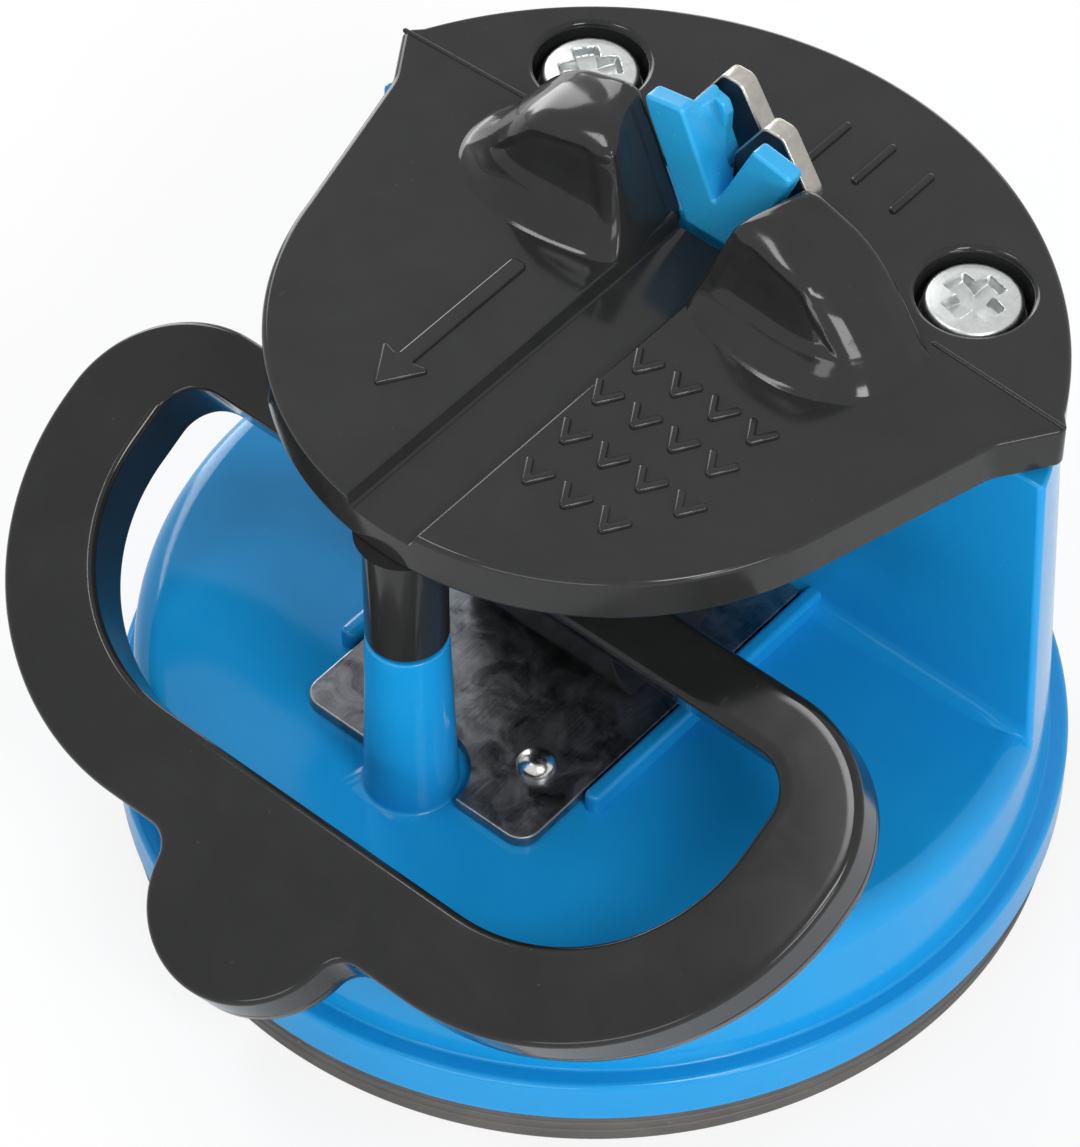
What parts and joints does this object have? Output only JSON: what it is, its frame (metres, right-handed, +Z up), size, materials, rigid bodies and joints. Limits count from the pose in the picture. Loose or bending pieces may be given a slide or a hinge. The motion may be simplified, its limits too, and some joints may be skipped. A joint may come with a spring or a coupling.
{
  "type": "knife sharpener",
  "caption": "Bench-top knife sharpener: round suction base, overhanging cover with guards, crossed carbide cutters in a V holder, and a ring lever that locks the suction cup.",
  "frame": {"origin": "on the table, under the middle of the object's box; the base's own round axis stands 3.7 mm behind it, at +Y", "axes": "+Z up; -Y towards the thumb tab, the way the knife is drawn; +X to the right, across the knife slot"},
  "size_m": [0.0648, 0.0722, 0.0519],
  "materials": {
    "blue_plastic": "glossy moulded blue",
    "holder_plastic": "semi-gloss moulded blue",
    "black_plastic": "glossy moulded black",
    "lever_plastic": "glossy moulded black",
    "grey_plastic": "plain moulded dark grey",
    "rubber": "satin black",
    "carbide": "ground, warm light grey",
    "dark_steel": "mottled, oiled dark steel",
    "zinc_steel": "bright zinc plate"
  },
  "bodies": {
    "base": {"base_shell": "blue_plastic", "top_cover": "black_plastic", "blade_holder": "holder_plastic", "carbide_left": "carbide", "carbide_right": "carbide", "wear_plate": "dark_steel", "cover_screw_left": "zinc_steel", "cover_screw_right": "zinc_steel", "plate_rivet_left": "zinc_steel", "plate_rivet_right": "zinc_steel", "suction_cup": "rubber"},
    "stem": {"suction_stem": "grey_plastic"},
    "lever": {"lever": "lever_plastic", "lever_pin": "zinc_steel"}
  },
  "joints": [
    {"name": "stem_lift", "type": "slide", "parent": "base", "child": "stem", "axis": [0, 0, -1], "range_m": [0, 0.0024], "deforming": ["suction_cup"]},
    {"name": "lever_turn", "type": "hinge", "parent": "stem", "child": "lever", "pos_m": [0, 0.00368, 0.027], "axis": [-1, 0, 0], "range_deg": [0, 90]}
  ],
  "couplings": [
    {"joint": "stem_lift", "follows": "lever_turn", "m_per_rad": 0.0015}
  ]
}
